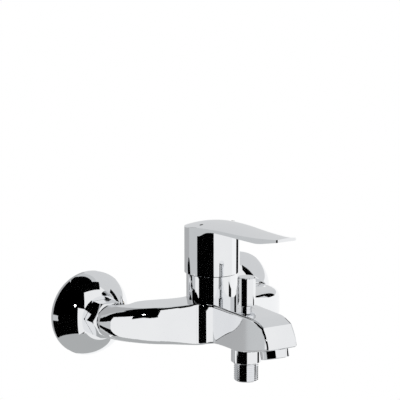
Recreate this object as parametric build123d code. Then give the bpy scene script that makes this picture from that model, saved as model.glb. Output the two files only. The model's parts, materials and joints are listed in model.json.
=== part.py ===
from build123d import *

import os
from math import atan, cos, degrees, radians, sin, tan

# Wall mounted bath and shower mixer, in millimetres. The origin is on the wall plane, midway between
# the two supply pipes. +X is to the right, -Y comes out of the wall towards the bather, +Z is up.

# --- supply connections ---
INLET_CENTRES = 150.0        # distance between the two hot and cold supplies
INLET_X = INLET_CENTRES / 2
THREAD_R = 10.48             # G1/2 outside thread
UNION_R = 13.2               # G3/4 outside thread on the union's nose
INLET_Z = 1.0                # the nuts sit this much above the middle of the roses
WALL_THREAD_Z = -4.0         # eccentric unions: the wall threads sit lower
ROSE_R = 37.3
ROSE_RIM = 3.0               # straight edge of the rose against the wall
ROSE_DEPTH = 23.0
ROSE_MOUTH_R = 19.5          # the dome ends here in a flat face
ROSE_WALL = 1.2
NUT_ACROSS_FLATS = 30.0
NUT_BACK, NUT_FRONT = 23.3, 39.0
RING_Y = 45.0                # where the body's arm begins, out from the wall
RING_R = 14.8

# --- body ---
BARREL_Y = -82.7             # upright axis of the cartridge and lever
NECK_R = 22.1
NECK_TOP = 43.7
BODY_TOP = 21.8
BODY_BOTTOM = -14.5
SPOUT_TIP_X = 14.6           # half width of the spout at its front
SPOUT_END = -191.2
NOSE_EDGE = (-182.8, 17.4)    # crease between the spout's top and its front face
MOUTH_BACK = (-168.0, -6.6)  # the underside rises from here to the front
MOUTH_FRONT_Z = -0.6
INNER_CORNER_R = 15.6        # hollow corner between arm and spout
SWEEP = 22.0                 # degrees that an arm's front leans back
ARM_FRONT = (-26.5, -100.3)  # where the left arm's front meets the hollow corner
ARM_DEPTH = 37.0
EDGE_R = 2.0                 # softened edges of spout and middle
TUCK = 0.15                  # how far the arm's inner end lies inside the middle block

# --- cartridge ---
SEAT_Z = 6.0                 # floor that the cartridge stands on
CARTRIDGE_R = 17.3
BASE_TOP = 9.5
DISC_Z = 12.5                # where the two ceramic discs meet
CARRIER_Z = 15.4             # foot of the carrier, on the moving disc
PIVOT_Z = 34.0               # the lever tips about a pin here
LIFT_ARM = 13.5              # pin to the centre of the ball that pushes the disc

# --- lever ---
CAP_R = 23.75
CAP_HOLLOW_R = 22.5
CAP_BOTTOM = 44.1
CROWN_TOP = 90.0
CROWN_R = 70.0               # the top's curve from side to side
LEVER_TIP = -196.0
LEVER_UNDER = 85.0

# --- diverter and hose outlet ---
DIVERTER_Y = -136.6
KNOB_R = 7.65
KNOB_BOTTOM, KNOB_TOP = 25.6, 49.6
ROD_R = 2.5
RUNNING = 0.06               # clearance of a rod in its guide
BONNET_R = 7.0
CHAMBER_FLOOR, CHAMBER_TOP = -5.0, 13.0
COLLAR_R = 12.9
COLLAR_TOP, COLLAR_BOTTOM = -9.0, -23.6
THREAD_END = -39.4

# --- aerator ---
AERATOR_Y = -178.8
AERATOR_R = 12.1


def rod(x, y, z_low, z_high, r):
    """An upright solid cylinder."""
    return Pos(x, y, (z_low + z_high) / 2) * Cylinder(r, z_high - z_low)


def tube(x, y, z_low, z_high, r_out, r_in):
    """An upright hollow cylinder."""
    return rod(x, y, z_low, z_high, r_out) - rod(x, y, z_low - 1, z_high + 1, r_in)


def along_y(x, z, y_a, y_b, r):
    """A solid cylinder lying along Y, from y_a to y_b."""
    return Pos(x, (y_a + y_b) / 2, z) * Rot(90, 0, 0) * Cylinder(r, abs(y_b - y_a))


def between(start, end, r):
    """A solid cylinder from one point to another."""
    start, end = Vector(*start), Vector(*end)
    way = end - start
    return Plane(origin=start, z_dir=way) * Pos(0, 0, way.length / 2) * Cylinder(r, way.length)


def mirrored(shape):
    """The same shape on the other side of the middle."""
    return shape.mirror(Plane.YZ)


def front_line(x):
    """Y of the left arm's front face, before its end turns back to the wall."""
    return ARM_FRONT[1] - (x - ARM_FRONT[0]) * tan(radians(SWEEP))


# ---------------------------------------------------------------- body casting

def arm_section(turn, inner, outer, top, bottom, r_top, r_bottom, pivot):
    """Upright rounded section of the left arm on a plane through pivot, turned from the ring's plane."""
    a = radians(turn)
    out = Vector(-cos(a), -sin(a), 0)
    plane = Plane(origin=(pivot[0], pivot[1], 0), x_dir=out, z_dir=out.cross(Vector(0, 0, 1)))
    shape = Pos((inner + outer) / 2, (top + bottom) / 2) * Rectangle(outer - inner, top - bottom)
    shape = fillet(shape.vertices().sort_by(Axis.Y)[2:], r_top)
    shape = fillet(shape.vertices().sort_by(Axis.Y)[:2], r_bottom)
    return plane * shape


def arm_left():
    """Tapered arm that swings back from the body and turns to meet its union nut."""
    pivot = (-(INLET_X - RING_R) + 2.6, -RING_Y)
    near_round = RING_R - 0.3
    ring_top, ring_low = INLET_Z + RING_R, INLET_Z - RING_R
    return loft([
        arm_section(0, 2.6, 2.6 + 2 * RING_R, ring_top, ring_low, near_round, near_round, pivot),
        arm_section(22, 2.4, 31.2, 16.6, -13.2, 12.0, 12.0, pivot),
        arm_section(45, 2.4, 32.4, 17.3, -12.8, 9.5, 10.0, pivot),
        arm_section(90 - SWEEP, 2.6, 36.0, 18.2, -12.6, 7.5, 8.0, pivot),
        far_section(0.5, 19.9, -13.5, 5.0, 5.5),
        far_section(1.0, BODY_TOP - TUCK, BODY_BOTTOM + TUCK, EDGE_R, EDGE_R, TUCK),
        far_section(1.2, BODY_TOP - 6 * TUCK, BODY_BOTTOM + 6 * TUCK, EDGE_R, EDGE_R, 6 * TUCK),
    ])


def far_section(share, top, bottom, r_top, r_bottom, inset=0.0):
    """Section of the left arm between its elbow, share 0, and the hollow corner, share 1."""
    elbow_x = -71.0
    x = elbow_x + share * (ARM_FRONT[0] - elbow_x)
    depth = 34.8 + share * (ARM_DEPTH - 34.8)
    front = (x, front_line(x))
    a = radians(90 - SWEEP)
    back = (front[0] + depth * cos(a), front[1] + depth * sin(a))
    return arm_section(90 - SWEEP, inset, depth - inset, top, bottom, r_top, r_bottom, back)


def middle_plan():
    """Outline from above of the block that joins arms and spout."""
    a = radians(SWEEP)
    out = Vector(-sin(a), -cos(a))
    tangent = Vector(*ARM_FRONT)
    centre = tangent + out * INNER_CORNER_R
    side = centre + Vector(INNER_CORNER_R, 0)
    mid = centre + Vector(sin(radians(45 + SWEEP / 2)), cos(radians(45 + SWEEP / 2))) * INNER_CORNER_R
    back = tangent - out * ARM_DEPTH
    tip = Vector(-SPOUT_TIP_X, SPOUT_END - 5)
    left = [back, tangent, mid, side, tip]
    right = [Vector(-p.X, p.Y) for p in left]
    edges = [
        Line(left[0], left[1]), ThreePointArc(left[1], left[2], left[3]), Line(left[3], left[4]),
        Line(left[4], right[4]), Line(right[4], right[3]), ThreePointArc(right[3], right[2], right[1]),
        Line(right[1], right[0]), Line(right[0], left[0]),
    ]
    return make_face(Wire(edges))


def middle_side():
    """Outline from the side of the same block: flat top, rounded nose, rising underside."""
    nose_low = (SPOUT_END, MOUTH_FRONT_Z)
    low_start = (-92, BODY_BOTTOM)
    edges = [
        Line((-40, BODY_TOP), (-166, BODY_TOP)),
        Spline((-166, BODY_TOP), (-176, 19.9), NOSE_EDGE, tangents=((-1, 0), (-0.92, -0.39))),
        Spline(NOSE_EDGE, (-188.6, 8.6), nose_low, tangents=((-0.60, -0.80), (-0.05, -1))),
        Line(nose_low, MOUTH_BACK),
        Spline(MOUTH_BACK, (-150, -10.3), (-128, -10.9), (-110, -12.0), low_start,
               tangents=((1, -0.26), (1, 0))),
        Line(low_start, (-40, BODY_BOTTOM)),
        Line((-40, BODY_BOTTOM), (-40, BODY_TOP)),
    ]
    outline = make_face(Wire(edges))
    crease = outline.vertices().sort_by_distance(Vector(*NOSE_EDGE))[0]
    return Plane.YZ * fillet(crease, 1.2)


def middle_block():
    """The block, with softened edges."""
    plan = extrude(middle_plan(), 30, both=True)
    side = extrude(middle_side(), 60, both=True)
    block = plan & side
    outside = block.edges().filter_by(
        lambda e: e.center().Y < ARM_FRONT[1] - 1 and abs(e.center().X) > 5)
    above = outside.filter_by(lambda e: e.center().Z > 15 or (e.center().Y < -183 and e.center().Z > 1))
    block = fillet(above, EDGE_R)
    under = block.edges().filter_by(
        lambda e: MOUTH_BACK[0] < e.center().Y < ARM_FRONT[1] - 1
        and abs(e.center().X) > 5 and e.center().Z < -5)
    return fillet(under, EDGE_R)


def water_ways():
    """Passages inside the casting: two inlets, the seat's ports and the way to spout and hose."""
    inlet = along_y(-INLET_X, INLET_Z, -RING_Y + 1, -RING_Y - 12, 9.6)
    inlet += between((-INLET_X + 2, -RING_Y - 9, INLET_Z), (-7.5, -79, -4), 5.0)
    inlet += rod(-7.5, -79, -5, SEAT_Z + 1, 3.4)
    ways = inlet + mirrored(inlet)
    ways += rod(0, -92.5, -3, SEAT_Z + 1, 3.6)
    ways += between((0, -90.5, -3), (0, DIVERTER_Y, 2), 5.6)
    ways += between((0, DIVERTER_Y, 4), (0, AERATOR_Y + 3, 5.5), 6.0)
    ways += rod(0, DIVERTER_Y, CHAMBER_FLOOR, CHAMBER_TOP, 9.4)
    ways += rod(0, DIVERTER_Y, COLLAR_TOP - 4, CHAMBER_FLOOR + 1, 5.6)
    return ways


def body_casting():
    arm = arm_left()
    body = middle_block() + arm + mirrored(arm)
    neck = rod(0, BARREL_Y, BODY_BOTTOM + 1, NECK_TOP, NECK_R)
    neck = chamfer(neck.edges().group_by(Axis.Z)[-1], 0.5)
    neck = fillet(neck.edges().group_by(Axis.Z)[0], 4.0)
    body += neck
    body -= rod(0, BARREL_Y, SEAT_Z, NECK_TOP + 1, CARTRIDGE_R + 0.2)
    body -= rod(0, BARREL_Y, 30.0, NECK_TOP + 1, 19.5)
    body -= water_ways()
    body -= rod(0, DIVERTER_Y, CHAMBER_TOP - 1, BODY_TOP + 1, BONNET_R)
    body -= rod(0, DIVERTER_Y, -16, -6.0, 9.0)
    body -= aerator_frame() * rod(0, 0, -3, 8.0, 10.9)
    return body


# ---------------------------------------------------------------- supply side

def wall_union():
    """Left eccentric union: its thread enters the wall below the nose that the nut grips."""
    middle_z = (INLET_Z + WALL_THREAD_Z) / 2
    wall_end = along_y(-INLET_X, WALL_THREAD_Z, -3, 15, THREAD_R)
    collar = along_y(-INLET_X, middle_z, -12, 0, 15.8)
    nose = along_y(-INLET_X, INLET_Z, -30, -8, UNION_R)
    bore = along_y(-INLET_X, WALL_THREAD_Z, -6, 16, 7.0) + along_y(-INLET_X, INLET_Z, -31, -6, 8.0)
    return wall_end + collar + nose - bore - along_y(-INLET_X, middle_z, -9, -4, 7.4)


def rose_curve(r_rim, depth, r_mouth):
    """Half outline of a dome, part of one circle, as points (radius, distance from the wall)."""
    steep, shallow = radians(66), radians(25)
    points = []
    for k in range(9):
        angle = steep + (shallow - steep) * k / 8
        across = (sin(angle) - sin(shallow)) / (sin(steep) - sin(shallow))
        out = (cos(angle) - cos(steep)) / (cos(shallow) - cos(steep))
        points.append((r_mouth + (r_rim - r_mouth) * across, ROSE_RIM + (depth - ROSE_RIM) * out))
    return points


def rosette():
    """Left wall rose: a spun dome with a short rim, its mouth threaded on the union's nose."""
    outer = rose_curve(ROSE_R, ROSE_DEPTH, ROSE_MOUTH_R)
    inner = rose_curve(ROSE_R - ROSE_WALL, ROSE_DEPTH - ROSE_WALL, ROSE_MOUTH_R - ROSE_WALL)
    hole = UNION_R - 2.5
    lip = UNION_R + 3.0
    edges = [
        Line((ROSE_R, 0.05), outer[0]), Spline(*outer),
        Line(outer[-1], (hole, ROSE_DEPTH)), Line((hole, ROSE_DEPTH), (hole, ROSE_DEPTH - 4)),
        Line((hole, ROSE_DEPTH - 4), (lip, ROSE_DEPTH - 4)),
        Line((lip, ROSE_DEPTH - 4), (lip, ROSE_DEPTH - ROSE_WALL)),
        Line((lip, ROSE_DEPTH - ROSE_WALL), inner[-1]),
        Spline(*reversed(inner)),
        Line(inner[0], (ROSE_R - ROSE_WALL, 0.05)), Line((ROSE_R - ROSE_WALL, 0.05), (ROSE_R, 0.05)),
    ]
    half = Plane.XZ * make_face(Wire(edges))
    dome = Pos(-INLET_X, 0, 0) * Rot(90, 0, 0) * revolve(half, Axis.Z)
    return dome - along_y(-INLET_X, INLET_Z, 0, -ROSE_DEPTH - 1, UNION_R + 0.02)


def union_nut():
    """Left union nut: a hexagon with turned-off corners and a round collar up to the arm."""
    corner_r = NUT_ACROSS_FLATS / 2 / cos(radians(30))
    length = NUT_FRONT - NUT_BACK
    hexagon = extrude(RegularPolygon(corner_r, 6), length)
    edges = [
        Line((0, 0), (corner_r - 0.9, 0)), Line((corner_r - 0.9, 0), (corner_r + 0.05, 0.8)),
        Line((corner_r + 0.05, 0.8), (corner_r + 0.05, length - 2.6)),
        ThreePointArc((corner_r + 0.05, length - 2.6), (16.2, length - 0.9), (14.6, length)),
        Line((14.6, length), (0, length)), Line((0, length), (0, 0)),
    ]
    turned = revolve(Plane.XZ * make_face(Wire(edges)), Axis.Z)
    nut = (hexagon & turned) + rod(0, 0, length - 1, RING_Y - NUT_BACK - 0.3, 14.4)
    nut -= rod(0, 0, -1, 35.2 - NUT_BACK, UNION_R + 0.02)
    nut -= rod(0, 0, 0, RING_Y, 10.55)
    return Pos(-INLET_X, -NUT_BACK, INLET_Z) * Rot(90, 0, 0) * nut


def inlet_nipple():
    """Left nipple screwed into the arm; the nut pulls on its flange."""
    shape = along_y(-INLET_X, INLET_Z, -32, -35, 12.9) + along_y(-INLET_X, INLET_Z, -34, -RING_Y, 10.5)
    shape += along_y(-INLET_X, INLET_Z, -RING_Y + 0.5, -RING_Y - 12, 9.6)
    return shape - along_y(-INLET_X, INLET_Z, -30, -60, 7.6) - along_y(-INLET_X, INLET_Z, -31, -33.2, 8.6)


def seal_washer():
    """Left flat washer between union and nipple."""
    return along_y(-INLET_X, INLET_Z, -30, -32, 12.8) - along_y(-INLET_X, INLET_Z, -29, -33, 8.6)


def filter_screen():
    """Left strainer disc in the nipple's mouth."""
    disc = along_y(-INLET_X, INLET_Z, -32.2, -33.2, 8.6)
    for ring, count in ((0, 1), (3.2, 6), (6.2, 12)):
        for k in range(count):
            a = radians(360 * k / count)
            disc -= along_y(-INLET_X + ring * cos(a), INLET_Z + ring * sin(a), -31, -35, 1.1)
    return disc


# ---------------------------------------------------------------- cartridge

PORTS = ((-7.5, 3.7), (7.5, 3.7), (0, -9.8))   # two inlets and the mixed outlet, from the barrel axis


def cartridge_base():
    base = rod(0, BARREL_Y, SEAT_Z, BASE_TOP, CARTRIDGE_R)
    for x, y in PORTS:
        base -= rod(x, BARREL_Y + y, 5, 12, 3.2)
        base -= rod(x, BARREL_Y + y, 5, SEAT_Z + 1.2, 4.8)
    return base


def cartridge_seals():
    rings = [tube(x, BARREL_Y + y, SEAT_Z, SEAT_Z + 1.2, 4.75, 3.3) for x, y in PORTS]
    return Compound(children=rings)


def fixed_ceramic_disc():
    disc = rod(0, BARREL_Y, BASE_TOP, DISC_Z, 14.0)
    for x, y in PORTS:
        disc -= rod(x, BARREL_Y + y, BASE_TOP - 1, DISC_Z + 1, 3.0)
    return disc


def moving_ceramic_disc():
    disc = rod(0, BARREL_Y, DISC_Z + RUNNING, CARRIER_Z, 9.6)
    return disc - Pos(0, BARREL_Y - 1.5, DISC_Z) * Box(8, 9, 3.0)


def disc_carrier():
    """Plastic carrier on the moving disc, with the socket that the lever's ball pushes."""
    carrier = rod(0, BARREL_Y, CARRIER_Z, 21.5, 9.6)
    return carrier - rod(0, BARREL_Y, CARRIER_Z + 1.0, 24, 3.9)


def cartridge_housing():
    shell = tube(0, BARREL_Y, BASE_TOP, 27, CARTRIDGE_R, 15.0)
    shell += tube(0, BARREL_Y, 27, 30, CARTRIDGE_R, 11.5)
    return shell


def swivel_guide():
    """Turret that turns with the lever and holds the pin that the lever tips about."""
    guide = rod(0, BARREL_Y, 23.4, 26.7, 14.7) + rod(0, BARREL_Y, 26, 41, 11.2)
    guide -= Pos(0, BARREL_Y, 33) * Box(8.6, 17.6, 24)
    return guide - Pos(0, BARREL_Y, PIVOT_Z) * Rot(0, 90, 0) * Cylinder(1.5, 30)


def pivot_pin():
    return Pos(0, BARREL_Y, PIVOT_Z) * Rot(0, 90, 0) * Cylinder(1.5, 20.0)


def cartridge_nut():
    """Ring nut that holds the cartridge down, with slots for its key."""
    nut = tube(0, BARREL_Y, 30, 43.0, 19.45, 14.2)
    for k in range(6):
        nut -= Pos(0, BARREL_Y, 0) * Rot(0, 0, 60 * k) * Pos(16.8, 0, 42) * Box(8, 4, 4)
    return nut


def lever_stem():
    """Square spindle on the pin, with a ball at its foot."""
    stem = Pos(0, BARREL_Y, 45.5) * Box(8, 8, 33)
    stem += rod(0, BARREL_Y, PIVOT_Z - LIFT_ARM, 30, 2.6)
    stem += Pos(0, BARREL_Y, PIVOT_Z - LIFT_ARM) * Sphere(3.5)
    return stem - Pos(0, BARREL_Y, PIVOT_Z) * Rot(0, 90, 0) * Cylinder(1.5 + RUNNING, 30)


# ---------------------------------------------------------------- lever

def lever_plan():
    """The lever from above: shoulders as wide as the cap, tapering to a square tip."""
    leave = radians(10)
    start = (-CAP_R * cos(leave), BARREL_Y - CAP_R * sin(leave))
    side = [start, (-20.2, -107), (-17.6, -124), (-15.2, -147), (-12.4, -172), (-10.2, -190)]
    corner = (-9.0, LEVER_TIP + 0.6)
    right = [(-x, y) for x, y in side]
    edges = [
        Spline(*side, tangents=((sin(leave), -cos(leave)), (0.1, -1))),
        Spline(side[-1], corner, (-7.0, LEVER_TIP), tangents=((0.1, -1), (1, 0))),
        Line((-7.0, LEVER_TIP), (7.0, LEVER_TIP)),
        Spline((7.0, LEVER_TIP), (-corner[0], corner[1]), right[-1], tangents=((1, 0), (0.1, 1))),
        Spline(*reversed(right), tangents=((0.1, 1), (sin(leave), cos(leave)))),
        Line(right[0], side[0]),
    ]
    return make_face(Wire(edges))


def crown():
    """Everything under the lever's gently domed top."""
    axis_z = CROWN_TOP - CROWN_R
    edges = [
        Spline((-40, 76.2), (-58.95, 83.4), (-82.7, 88.8), (-102, CROWN_TOP), (-140, CROWN_TOP),
               (-158, 90.4), (-174, 91.2), (-190, 92.6), (-205, 94.2)),
        Line((-205, 94.2), (-205, axis_z)), Line((-205, axis_z), (-40, axis_z)),
        Line((-40, axis_z), (-40, 76.2)),
    ]
    half = Plane.YZ * make_face(Wire(edges))
    return revolve(half, Axis((0, 0, axis_z), (0, 1, 0)))


def blade():
    """The lever in front of the cap: level underside that lifts towards the tip."""
    edges = [
        Line((-70, 100), (-70, 79)), Line((-70, 79), (-92, 79)),
        Spline((-92, 79), (-97, 79.6), (-104, 83.0), (-112, 84.7), (-122, LEVER_UNDER),
               tangents=((-1, 0), (-1, 0.0))),
        Line((-122, LEVER_UNDER), (-166, LEVER_UNDER)),
        Spline((-166, LEVER_UNDER), (-180, 86.9), (-205, 92.6), tangents=((-1, 0), (-0.96, 0.26))),
        Line((-205, 92.6), (-205, 100)), Line((-205, 100), (-70, 100)),
    ]
    side = extrude(Plane.YZ * make_face(Wire(edges)), 40, both=True)
    return side & Pos(0, 0, 60) * extrude(lever_plan(), 60)


def index_pit(x):
    """Round pocket that holds an index dot, 16 mm to one side of the middle."""
    return rod(x, -91.0, 84.0, 95.0, 1.55)


def handle():
    """Cap and lever in one casting, hollow over the cartridge, with a boss for the spindle."""
    cap = rod(0, BARREL_Y, CAP_BOTTOM, 100, CAP_R)
    shape = (cap + blade()) & crown()
    shape -= rod(0, BARREL_Y, CAP_BOTTOM - 1, 66, CAP_HOLLOW_R)
    shape -= Pos(0, 0, -2.5) * (rod(0, BARREL_Y, 66, 100, 20.0) & crown())
    shape += Pos(0, 0, -1) * (rod(0, BARREL_Y, 51, 100, 9.0) & crown())
    shape -= Pos(0, BARREL_Y, 56) * Box(8.0, 8.0, 13)
    shape -= along_y(0, 57, BARREL_Y + 2, BARREL_Y + 12, 2.5)
    shape -= along_y(0, 57, BARREL_Y + 18, BARREL_Y + 30, 3.0)
    for x in (-16, 16):
        shape -= index_pit(x)
    return shape


def handle_set_screw():
    screw = along_y(0, 57, BARREL_Y + 4.0, BARREL_Y + 9.4, 2.5)
    key = Plane(origin=(0, BARREL_Y + 9.5, 57), z_dir=(0, -1, 0)) * extrude(RegularPolygon(1.4, 6), 2.5)
    return screw - key


def set_screw_plug():
    plug = along_y(0, 57, BARREL_Y + 21.0, BARREL_Y + 30, 3.0)
    return plug & rod(0, BARREL_Y, 40, 80, CAP_R + 0.25)


def index_dot(x):
    """Coloured disc set level with the lever's top."""
    return index_pit(x) & Pos(0, 0, 0.12) * crown()


# ---------------------------------------------------------------- diverter

def diverter_bonnet():
    bonnet = rod(0, DIVERTER_Y, CHAMBER_TOP, BODY_TOP - 0.1, BONNET_R)
    bonnet += rod(0, DIVERTER_Y, BODY_TOP - 1, KNOB_BOTTOM - 0.5, 4.3)
    bonnet -= rod(0, DIVERTER_Y, CHAMBER_TOP - 1, KNOB_BOTTOM, ROD_R + RUNNING)
    return bonnet - rod(0, DIVERTER_Y, 17.0, 18.8, 4.0)


def diverter_o_ring():
    return tube(0, DIVERTER_Y, 17.0, 18.8, 4.0, ROD_R + RUNNING)


def diverter_rod():
    return rod(0, DIVERTER_Y, CHAMBER_FLOOR + 2.3, 42.0, ROD_R)


def diverter_knob():
    knob = rod(0, DIVERTER_Y, KNOB_BOTTOM, KNOB_TOP, KNOB_R)
    knob = chamfer(knob.edges().group_by(Axis.Z)[-1], 0.6)
    knob = chamfer(knob.edges().group_by(Axis.Z)[0], 0.5)
    return knob - rod(0, DIVERTER_Y, KNOB_BOTTOM - 1, 42.0, ROD_R)


def diverter_valve_disc():
    return tube(0, DIVERTER_Y, CHAMBER_FLOOR + 2.3, CHAMBER_FLOOR + 3.8, 7.4, ROD_R)


def diverter_seal():
    return rod(0, DIVERTER_Y, CHAMBER_FLOOR + 0.3, CHAMBER_FLOOR + 2.3, 8.0)


def coil(x, y, z_low, z_high, r, wire_r, turns):
    """A compression spring standing between two faces."""
    height = z_high - z_low - 2 * wire_r - 0.1
    path = Helix(height / turns, height, r)
    section = Plane(origin=path @ 0, z_dir=path % 0) * Circle(wire_r)
    return Pos(x, y, z_low + wire_r + 0.05) * sweep(section, path=path)


def diverter_spring():
    return coil(0, DIVERTER_Y, CHAMBER_FLOOR + 3.8, CHAMBER_TOP, 4.6, 0.45, 5)


# ---------------------------------------------------------------- hose outlet and check valve

def hose_outlet():
    """Round collar and threaded spigot for the shower hose."""
    shape = rod(0, DIVERTER_Y, COLLAR_BOTTOM, COLLAR_TOP - 2.6, COLLAR_R)
    shape = chamfer(shape.edges().group_by(Axis.Z)[0], 1.0)
    shape += rod(0, DIVERTER_Y, COLLAR_TOP - 3, -6.6, 9.0)
    spigot = rod(0, DIVERTER_Y, THREAD_END, COLLAR_BOTTOM + 1, THREAD_R)
    shape += chamfer(spigot.edges().group_by(Axis.Z)[0], 0.8)
    return shape - rod(0, DIVERTER_Y, THREAD_END - 1, -19, 7.0) - rod(0, DIVERTER_Y, -20, -5, 5.6)


def outlet_o_ring():
    return tube(0, DIVERTER_Y, -6.6, -6.0, 8.9, 6.4)


def check_valve_body():
    body = tube(0, DIVERTER_Y, -32, -19, 7.0, 5.6) + tube(0, DIVERTER_Y, -21, -19, 6, 3.4)
    spider = rod(0, DIVERTER_Y, -32, -30.5, 6.0) - rod(0, DIVERTER_Y, -33, -30, 1.2 + RUNNING)
    for k in range(4):
        a = radians(90 * k)
        spider -= rod(3.4 * cos(a), DIVERTER_Y + 3.4 * sin(a), -33, -30, 1.4)
    return body + spider


def check_valve_poppet():
    return rod(0, DIVERTER_Y, -22.6, -21.3, 4.9) + rod(0, DIVERTER_Y, -32.6, -22, 1.2)


def check_valve_spring():
    return coil(0, DIVERTER_Y, -30.5, -22.6, 2.9, 0.3, 4)


# ---------------------------------------------------------------- aerator

def aerator_frame():
    """Place of the aerator: centred on the spout's rising mouth and square to it."""
    slope = (MOUTH_FRONT_Z - MOUTH_BACK[1]) / (MOUTH_BACK[0] - SPOUT_END)
    z = MOUTH_BACK[1] + slope * (MOUTH_BACK[0] - AERATOR_Y)
    return Pos(0, AERATOR_Y, z) * Rot(-degrees(atan(slope)), 0, 0)


def aerator_housing():
    ring = tube(0, 0, -7.0, 0.0, AERATOR_R, 10.0)
    ring = chamfer(ring.edges().group_by(Axis.Z)[0], 0.5)
    return aerator_frame() * (ring + tube(0, 0, -1, 6.0, 10.9, 10.0))


def aerator_insert():
    insert = rod(0, 0, -5.8, 5.0, 10.0)
    for ring, count in ((0, 1), (3.3, 6), (6.6, 12)):
        for k in range(count):
            a = radians(360 * k / count)
            insert -= rod(ring * cos(a), ring * sin(a), -7, 6, 1.2)
    return aerator_frame() * insert


def aerator_gasket():
    return aerator_frame() * tube(0, 0, 6.0, 7.6, 10.8, 8.4)


# ---------------------------------------------------------------- the whole mixer

def all_parts():
    parts = {"body_casting": body_casting()}
    pairs = {
        "wall_union": wall_union(), "rosette": rosette(), "union_nut": union_nut(),
        "inlet_nipple": inlet_nipple(), "seal_washer": seal_washer(), "filter_screen": filter_screen(),
    }
    for name, shape in pairs.items():
        parts["left_" + name] = shape
        parts["right_" + name] = mirrored(shape)
    singles = (
        cartridge_base, cartridge_seals, fixed_ceramic_disc, moving_ceramic_disc, disc_carrier,
        cartridge_housing, swivel_guide, pivot_pin, cartridge_nut, lever_stem, handle,
        handle_set_screw, set_screw_plug, diverter_bonnet, diverter_o_ring, diverter_rod, diverter_knob,
        diverter_valve_disc, diverter_seal, diverter_spring, hose_outlet, outlet_o_ring,
        check_valve_body, check_valve_poppet, check_valve_spring,
        aerator_housing, aerator_insert, aerator_gasket,
    )
    for make in singles:
        parts[make.__name__] = make()
    parts["hot_index_dot"] = index_dot(-16)
    parts["cold_index_dot"] = index_dot(16)
    return parts


os.makedirs("parts", exist_ok=True)
for node, solid in all_parts().items():
    export_step(solid, f"parts/{node}.step")
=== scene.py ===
"""Wall mounted bath and shower mixer: its finishes, threaded outlet, springs and a small studio."""

import json
from math import cos, pi, radians, sin

import bpy
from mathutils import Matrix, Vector


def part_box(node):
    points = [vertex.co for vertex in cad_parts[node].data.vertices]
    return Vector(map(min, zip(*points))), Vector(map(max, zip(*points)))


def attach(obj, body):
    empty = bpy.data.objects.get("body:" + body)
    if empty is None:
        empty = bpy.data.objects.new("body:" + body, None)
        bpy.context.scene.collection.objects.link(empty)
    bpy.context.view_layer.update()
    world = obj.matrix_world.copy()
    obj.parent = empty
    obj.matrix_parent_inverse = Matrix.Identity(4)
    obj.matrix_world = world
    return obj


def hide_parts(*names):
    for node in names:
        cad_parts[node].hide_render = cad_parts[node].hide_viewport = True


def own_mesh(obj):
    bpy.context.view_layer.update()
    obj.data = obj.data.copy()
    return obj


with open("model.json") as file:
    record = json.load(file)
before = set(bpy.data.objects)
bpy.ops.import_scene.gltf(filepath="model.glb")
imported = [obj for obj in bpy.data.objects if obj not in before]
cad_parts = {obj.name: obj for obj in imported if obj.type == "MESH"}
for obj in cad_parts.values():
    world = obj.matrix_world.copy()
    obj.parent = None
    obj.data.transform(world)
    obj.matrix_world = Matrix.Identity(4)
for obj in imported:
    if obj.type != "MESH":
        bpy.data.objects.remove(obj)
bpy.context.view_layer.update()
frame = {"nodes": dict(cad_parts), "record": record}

MM = 0.001


# ---------------------------------------------------------------- small helpers

def fresh():
    """Leaves edit mode and deselects everything, so that an operator acts on the new piece alone."""
    if bpy.context.object and bpy.context.object.mode != "OBJECT":
        bpy.ops.object.mode_set(mode="OBJECT")
    bpy.ops.object.select_all(action="DESELECT")


def take(obj):
    """Makes one piece the only selected and the active one."""
    fresh()
    obj.select_set(True)
    bpy.context.view_layer.objects.active = obj


def settle(obj, name):
    """Names a piece and puts its place into its mesh."""
    take(obj)
    bpy.ops.object.transform_apply(location=True, rotation=True, scale=True)
    obj.name = obj.data.name = name
    return obj


def apply_modifiers(obj):
    take(obj)
    for modifier in list(obj.modifiers):
        bpy.ops.object.modifier_apply(modifier=modifier.name)


# ---------------------------------------------------------------- finishes

def new_material(name):
    material = bpy.data.materials.new(name)
    material.use_nodes = True
    nodes = material.node_tree.nodes
    return material, nodes, material.node_tree.links, nodes["Principled BSDF"]


def add(nodes, kind, **inputs):
    """A node with its inputs set by name, spaces written as underscores."""
    node = nodes.new(kind)
    for key, value in inputs.items():
        node.inputs[key.replace("_", " ")].default_value = value
    return node


def noise(nodes, links, scale, detail=3.0, stretch=(1, 1, 1)):
    """Noise in the piece's own space, longer along some axes if stretched."""
    place = nodes.new("ShaderNodeTexCoord")
    mapping = nodes.new("ShaderNodeMapping")
    mapping.inputs["Scale"].default_value = stretch
    links.new(place.outputs["Object"], mapping.inputs["Vector"])
    texture = add(nodes, "ShaderNodeTexNoise", Scale=scale, Detail=detail, Roughness=0.55)
    links.new(mapping.outputs["Vector"], texture.inputs["Vector"])
    return texture.outputs["Fac"]


def ranged(nodes, links, value, low, high):
    """Spreads a 0 to 1 value between two numbers."""
    spread = nodes.new("ShaderNodeMapRange")
    spread.inputs["To Min"].default_value = low
    spread.inputs["To Max"].default_value = high
    links.new(value, spread.inputs["Value"])
    return spread.outputs["Result"]


def toned(nodes, links, value, dark, light):
    """Mixes two colours by a 0 to 1 value."""
    mix = nodes.new("ShaderNodeMix")
    mix.data_type = "RGBA"
    mix.inputs["A"].default_value = (*dark, 1)
    mix.inputs["B"].default_value = (*light, 1)
    links.new(value, mix.inputs["Factor"])
    return mix.outputs["Result"]


def bumped(nodes, links, shader, value, height, strength=0.5):
    bump = add(nodes, "ShaderNodeBump", Strength=strength, Distance=height)
    links.new(value, bump.inputs["Height"])
    links.new(bump.outputs["Normal"], shader.inputs["Normal"])


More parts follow.
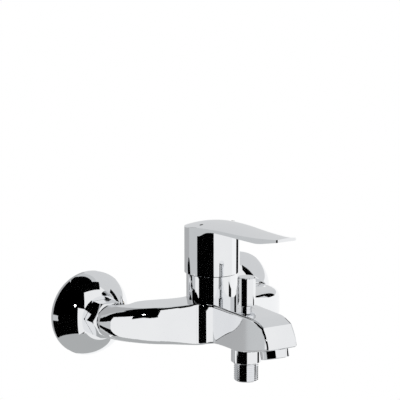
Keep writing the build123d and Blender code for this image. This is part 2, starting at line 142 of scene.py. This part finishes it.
def plated(name, dark, light, rough_low, rough_high, ripple):
    """Polished plate over a cast or turned blank: faint cloudiness, polishing marks and a slight ripple."""
    material, nodes, links, shader = new_material(name)
    shader.inputs["Metallic"].default_value = 1.0
    cloud = noise(nodes, links, 38.0)
    links.new(toned(nodes, links, cloud, dark, light), shader.inputs["Base Color"])
    marks = noise(nodes, links, 900.0, 4.0, (1, 1, 0.12))
    links.new(ranged(nodes, links, marks, rough_low, rough_high), shader.inputs["Roughness"])
    bumped(nodes, links, shader, noise(nodes, links, 60.0, 1.0), ripple, 0.25)
    return material


def machined(name, dark, light, rough, rings):
    """Turned metal with fine tool marks around its axis."""
    material, nodes, links, shader = new_material(name)
    shader.inputs["Metallic"].default_value = 1.0
    links.new(toned(nodes, links, noise(nodes, links, 120.0), dark, light), shader.inputs["Base Color"])
    tool = noise(nodes, links, 500.0, 2.0, rings)
    links.new(ranged(nodes, links, tool, rough, rough + 0.15), shader.inputs["Roughness"])
    bumped(nodes, links, shader, tool, 0.00002)
    return material


def moulded(name, dark, light, rough, grain, height):
    """Moulded plastic, rubber or lapped ceramic with a fine skin texture."""
    material, nodes, links, shader = new_material(name)
    skin = noise(nodes, links, grain, 4.0)
    links.new(toned(nodes, links, skin, dark, light), shader.inputs["Base Color"])
    links.new(ranged(nodes, links, skin, rough, rough + 0.12), shader.inputs["Roughness"])
    bumped(nodes, links, shader, skin, height)
    return material


def finishes():
    """One material for each of the record's slots."""
    return {
        "bright_chrome": plated("polished chrome", (0.84, 0.85, 0.87), (0.90, 0.91, 0.92), 0.015, 0.05, 1e-6),
        "machined_brass": machined("turned brass", (0.66, 0.47, 0.20), (0.80, 0.60, 0.29), 0.18, (1, 0.1, 1)),
        "black_rubber": moulded("sealing rubber",
                                (0.010, 0.010, 0.011), (0.030, 0.030, 0.031), 0.55, 900, 2e-5),
        "grey_fibre": moulded("fibre washer", (0.14, 0.14, 0.13), (0.26, 0.25, 0.24), 0.7, 1600, 4e-5),
        "stainless": machined("stainless wire", (0.48, 0.48, 0.48), (0.62, 0.62, 0.61), 0.2, (1, 1, 0.1)),
        "white_ceramic": moulded("lapped ceramic", (0.80, 0.78, 0.72), (0.88, 0.86, 0.81), 0.12, 500, 4e-6),
        "white_acetal": moulded("white acetal", (0.76, 0.76, 0.73), (0.84, 0.84, 0.82), 0.35, 700, 1e-5),
        "grey_acetal": moulded("grey acetal", (0.28, 0.29, 0.31), (0.38, 0.39, 0.41), 0.38, 700, 1e-5),
        "dot_dark": moulded("index lacquer", (0.030, 0.030, 0.032), (0.055, 0.055, 0.060), 0.25, 900, 3e-6),
    }


def dress_all(made):
    """Gives every CAD node the finish of its slot."""
    for row in frame["record"]["subparts"]:
        for slot in frame["nodes"][row["node"]].material_slots:
            slot.material = made[row["material_slot"]]


# ---------------------------------------------------------------- hose outlet with its real thread

PITCH = 1.814 * MM           # 14 threads to the inch
CREST_R = 10.42 * MM
ROOT_R = 9.35 * MM
BORE_R = 7.0 * MM
COLLAR_R = 12.9 * MM
COLLAR_LOW = -23.6 * MM
COLLAR_HIGH = -11.6 * MM
COLLAR_CHAMFER = 1.0 * MM
COLLAR_EDGE = 0.25 * MM
SHANK_R = 9.0 * MM           # part above the collar, inside the spout
SHANK_TOP = -6.6 * MM
VALVE_SEAT_R = 5.6 * MM      # narrow bore above the check valve
VALVE_SEAT_Z = -19.0 * MM
LEAD = 1.0 * MM              # chamfer where the hose nut starts
TURNS = 12


def swept_round(name, outline, closed, lift=0.0):
    """Turns an outline of (radius, height) once about the outlet's axis, rising by lift."""
    low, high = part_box("hose_outlet")
    axis = (low + high) / 2
    count = len(outline)
    edges = [(k, k + 1) for k in range(count - 1)] + ([(count - 1, 0)] if closed else [])
    mesh = bpy.data.meshes.new(name)
    mesh.from_pydata([(r, 0, z) for r, z in outline], edges, [])
    piece = bpy.data.objects.new(name, mesh)
    bpy.context.scene.collection.objects.link(piece)
    piece.location = (axis.x, axis.y, 0)
    turn = piece.modifiers.new("turn", "SCREW")
    turn.axis = "Z"
    turn.angle = 2 * pi
    turn.screw_offset = lift
    turn.steps = turn.render_steps = 96
    turn.use_merge_vertices = True
    turn.merge_threshold = 1e-7
    apply_modifiers(piece)
    outward(piece)
    return piece


def outward(piece):
    """Joins the seam and turns the faces outward."""
    take(piece)
    bpy.ops.object.mode_set(mode="EDIT")
    bpy.ops.mesh.select_all(action="SELECT")
    bpy.ops.mesh.remove_doubles(threshold=2e-6)
    bpy.ops.mesh.normals_make_consistent(inside=False)
    bpy.ops.object.mode_set(mode="OBJECT")


def trimmed(piece, z, keep_above):
    """Cuts a piece flat at a height and closes the cut."""
    take(piece)
    bpy.ops.object.mode_set(mode="EDIT")
    bpy.ops.mesh.select_all(action="SELECT")
    bpy.ops.mesh.bisect(plane_co=(0, 0, z), plane_no=(0, 0, 1), use_fill=True,
                        clear_inner=keep_above, clear_outer=not keep_above)
    bpy.ops.object.mode_set(mode="OBJECT")


def combined(piece, tool, operation):
    cut = piece.modifiers.new("cut", "BOOLEAN")
    cut.object = tool
    cut.operation = operation
    cut.solver = "EXACT"
    apply_modifiers(piece)
    bpy.data.objects.remove(tool)


def helix(bottom):
    """Solid thread, crest and root, trimmed at the spigot's end and inside the collar."""
    outline = []
    for k in range(TURNS):
        z = bottom - 2 * PITCH + k * PITCH
        outline += [(ROOT_R, z), (CREST_R, z + 0.40 * PITCH), (CREST_R, z + 0.60 * PITCH)]
    outline.append((ROOT_R, bottom + (TURNS - 2) * PITCH))
    thread = swept_round("thread", outline, False, PITCH)
    trimmed(thread, bottom, True)
    trimmed(thread, COLLAR_LOW + 0.6 * MM, False)
    return thread


def hose_outlet(chrome):
    """Round collar, thread and bore of the shower outlet."""
    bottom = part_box("hose_outlet")[0].z
    over_crest = CREST_R + 0.05 * MM
    piece = helix(bottom)
    blank = swept_round("blank", [
        (0.0, bottom - MM), (CREST_R - LEAD, bottom - MM), (CREST_R - LEAD, bottom),
        (over_crest, bottom + LEAD), (over_crest, 0.0), (0.0, 0.0)], False)
    combined(piece, blank, "INTERSECT")
    drill = swept_round("drill", [
        (0.0, bottom - 2 * MM), (BORE_R, bottom - 2 * MM), (BORE_R, 0.0), (0.0, 0.0)], False)
    combined(piece, drill, "DIFFERENCE")
    collar = swept_round("collar", [
        (BORE_R, COLLAR_LOW), (COLLAR_R - COLLAR_CHAMFER, COLLAR_LOW),
        (COLLAR_R, COLLAR_LOW + COLLAR_CHAMFER), (COLLAR_R, COLLAR_HIGH - COLLAR_EDGE),
        (COLLAR_R - COLLAR_EDGE, COLLAR_HIGH), (SHANK_R, COLLAR_HIGH), (SHANK_R, SHANK_TOP),
        (VALVE_SEAT_R, SHANK_TOP), (VALVE_SEAT_R, VALVE_SEAT_Z), (BORE_R, VALVE_SEAT_Z)], True)
    take(piece)
    collar.select_set(True)
    bpy.ops.object.join()
    settle(piece, "threaded_hose_outlet")
    piece.data.materials.clear()
    piece.data.materials.append(chrome)
    take(piece)
    bpy.ops.object.shade_smooth_by_angle(angle=radians(28))
    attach(piece, "mixer_body")
    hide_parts("hose_outlet")


# ---------------------------------------------------------------- coil springs

WIRE_SIDES = 14
STEPS_PER_TURN = 40


def spring(node, mean_r, wire_r, turns, steel):
    """Round wire wound in a helix between the CAD spring's ends."""
    low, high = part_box(node)
    axis = (low + high) / 2
    fresh()
    bpy.ops.mesh.primitive_circle_add(vertices=WIRE_SIDES, radius=wire_r, fill_type="NOTHING",
                                      rotation=(pi / 2, 0, 0))
    wire = settle(bpy.context.object, node + "_wire")
    take(wire)
    bpy.ops.object.mode_set(mode="EDIT")
    bpy.ops.mesh.select_all(action="SELECT")
    bpy.ops.transform.translate(value=(mean_r, 0, low.z + wire_r))
    bpy.ops.object.mode_set(mode="OBJECT")
    wire.location = (axis.x, axis.y, 0)
    turn = wire.modifiers.new("wind", "SCREW")
    turn.axis = "Z"
    turn.angle = 2 * pi
    turn.iterations = turns
    turn.screw_offset = (high.z - low.z - 2 * wire_r) / turns
    turn.steps = turn.render_steps = STEPS_PER_TURN
    turn.use_merge_vertices = False
    apply_modifiers(wire)
    bpy.ops.object.mode_set(mode="EDIT")
    bpy.ops.mesh.select_all(action="SELECT")
    bpy.ops.mesh.remove_doubles(threshold=2e-6)
    bpy.ops.mesh.select_all(action="DESELECT")
    bpy.ops.mesh.select_non_manifold()
    bpy.ops.mesh.fill_holes(sides=0)
    bpy.ops.object.mode_set(mode="OBJECT")
    outward(wire)
    settle(wire, node + "_coil")
    wire.data.materials.append(steel)
    take(wire)
    bpy.ops.object.shade_smooth_by_angle(angle=radians(50))
    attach(wire, "mixer_body")
    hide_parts(node)
    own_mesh(wire)


def springs(steel):
    """Both return springs: one hangs from the bonnet, one stands on the check valve's floor."""
    spring("diverter_spring", mean_r=4.6 * MM, wire_r=0.45 * MM, turns=5,
           steel=steel)
    spring("check_valve_spring", mean_r=2.9 * MM, wire_r=0.30 * MM, turns=4,
           steel=steel)


# ---------------------------------------------------------------- studio

EYE = Vector((-0.9595, -1.5954, 0.4547))
AIM = Vector((0.0115, -0.0450, 0.0986))
LENS_MM = 192.9
FLOOR_Z = -1.6
CARD_LOW = -1.32
CARD_HIGH = 2.6
STEP_DEG = 4                 # one flat facet of a curved card


def point_at(obj, target):
    obj.rotation_euler = (Vector(target) - obj.location).to_track_quat("-Z", "Y").to_euler()


def camera():
    bpy.ops.object.camera_add(location=EYE)
    made = bpy.context.object
    made.data.sensor_width = 36.0
    made.data.lens = LENS_MM
    point_at(made, AIM)
    bpy.context.scene.camera = made


def glowing(name, strength, tint=(1, 1, 1)):
    """Evenly lit card or panel."""
    material = bpy.data.materials.new(name)
    material.use_nodes = True
    nodes = material.node_tree.nodes
    nodes.clear()
    glow = nodes.new("ShaderNodeEmission")
    glow.inputs["Color"].default_value = (*tint, 1)
    glow.inputs["Strength"].default_value = strength
    out = nodes.new("ShaderNodeOutputMaterial")
    material.node_tree.links.new(glow.outputs["Emission"], out.inputs["Surface"])
    return material


def unseen(panel):
    """Stages a card that only shows in the chrome."""
    panel.visible_camera = False
    panel.visible_shadow = False


def card(name, from_deg, to_deg, low, high, radius, material, centre=(0.0, -0.08)):
    """Curved card round the mixer. Angles run from straight in front towards the left."""
    steps = max(2, int(abs(to_deg - from_deg) / STEP_DEG))
    points = []
    for k in range(steps + 1):
        a = radians(from_deg + (to_deg - from_deg) * k / steps)
        points.append((centre[0] - radius * sin(a), centre[1] - radius * cos(a)))
    mesh = bpy.data.meshes.new(name)
    vertices = [(x, y, z) for x, y in points for z in (low, high)]
    faces = [(2 * k, 2 * k + 2, 2 * k + 3, 2 * k + 1) for k in range(steps)]
    mesh.from_pydata(vertices, [], faces)
    panel = bpy.data.objects.new(name, mesh)
    bpy.context.scene.collection.objects.link(panel)
    mesh.materials.append(material)
    unseen(panel)


def floor():
    """Pale sweep under and behind the mixer."""
    fresh()
    bpy.ops.mesh.primitive_plane_add(size=40.0, location=(0, 0, FLOOR_Z))
    plane = settle(bpy.context.object, "studio_floor")
    plane.data.materials.append(glowing("pale floor", 1.0))


def disc(name, place, radius, material, facing=(0.0, 0.0, -1.0)):
    """Round card that faces one way."""
    fresh()
    bpy.ops.mesh.primitive_circle_add(vertices=48, radius=radius, fill_type="NGON", location=place)
    made = bpy.context.object
    made.rotation_euler = Vector(facing).to_track_quat("Z", "Y").to_euler()
    settle(made, name)
    made.data.materials.append(material)
    unseen(made)


def sheet(name, corners, material):
    """Flat card with its corners in millimetres."""
    mesh = bpy.data.meshes.new(name)
    mesh.from_pydata([Vector(c) * MM for c in corners], [], [tuple(range(len(corners)))])
    made = bpy.data.objects.new(name, mesh)
    bpy.context.scene.collection.objects.link(made)
    mesh.materials.append(material)
    unseen(made)


def upright(name, start, end, low, high, material):
    """Flat upright card from one plan point to another, in millimetres."""
    sheet(name, [(*start, low), (*end, low), (*end, high), (*start, high)], material)


def studio():
    world = bpy.context.scene.world or bpy.data.worlds.new("studio")
    bpy.context.scene.world = world
    world.use_nodes = True
    background = world.node_tree.nodes.get("Background") or world.node_tree.nodes.new("ShaderNodeBackground")
    background.inputs["Color"].default_value = (1, 1, 1, 1)
    background.inputs["Strength"].default_value = 1.0
    bpy.context.scene.view_settings.view_transform = "Standard"
    floor()
    black = glowing("black card", 0.0)
    white = glowing("white panel", 0.93)
    pale = glowing("pale grey ceiling", 0.60, (0.97, 0.99, 1.0))
    middle = glowing("middle grey panel", 0.46, (0.98, 0.99, 1.0))
    light = glowing("light grey panel", 0.70, (0.98, 0.99, 1.0))
    grey = glowing("grey ground card", 0.46, (0.98, 1.0, 1.0))
    card("black_card", 25, 96, CARD_LOW, CARD_HIGH, 1.2, black)
    card("black_card_high", 96, 132, -0.11, CARD_HIGH, 1.2, black)
    card("black_card_low", 96, 132, CARD_LOW, -0.34, 1.2, black)
    disc("black_lid", (-0.30, -0.25, 2.5), 1.05, black)
    card("front_panel", 25, -58, -1.0, CARD_HIGH, 1.25, white)
    card("back_panel_left", 96, 141, CARD_LOW, CARD_HIGH, 1.3, pale)
    card("back_panel_far_left", 141, 200, CARD_LOW, CARD_HIGH, 1.3, middle)
    card("back_panel_right", -58, -160, 0.06, CARD_HIGH, 1.3, light)
    disc("ceiling", (0, -0.08, CARD_HIGH), 1.3, pale)
    disc("ground_card", (0, -0.08, -1.33), 1.22, grey, (0.0, 0.0, 1.0))
    upright("right_flag", (142, -108), (142, -58), 14, 150, black)
    upright("nose_flag", (142, -228), (142, -170), -75, -4, black)
    sheet("rose_flag", [(-112, -62, 92), (-32, -62, 92), (-32, -22, 92), (-112, -22, 92)], black)
    upright("elbow_fill", (-119, -48), (-104, -88), -58, 22, white)
    upright("arm_fill", (-104, -88), (-67, -120), -58, 4, white)
    spot = Vector((-0.75, -0.62, 0.38))
    disc("key_spot", spot, 0.045, glowing("key lamp", 9.0), Vector((-0.08, -0.02, 0.0)) - spot)


# ---------------------------------------------------------------- the whole scene

camera()
studio()
made = finishes()
dress_all(made)
hose_outlet(made["bright_chrome"])
springs(made["stainless"])
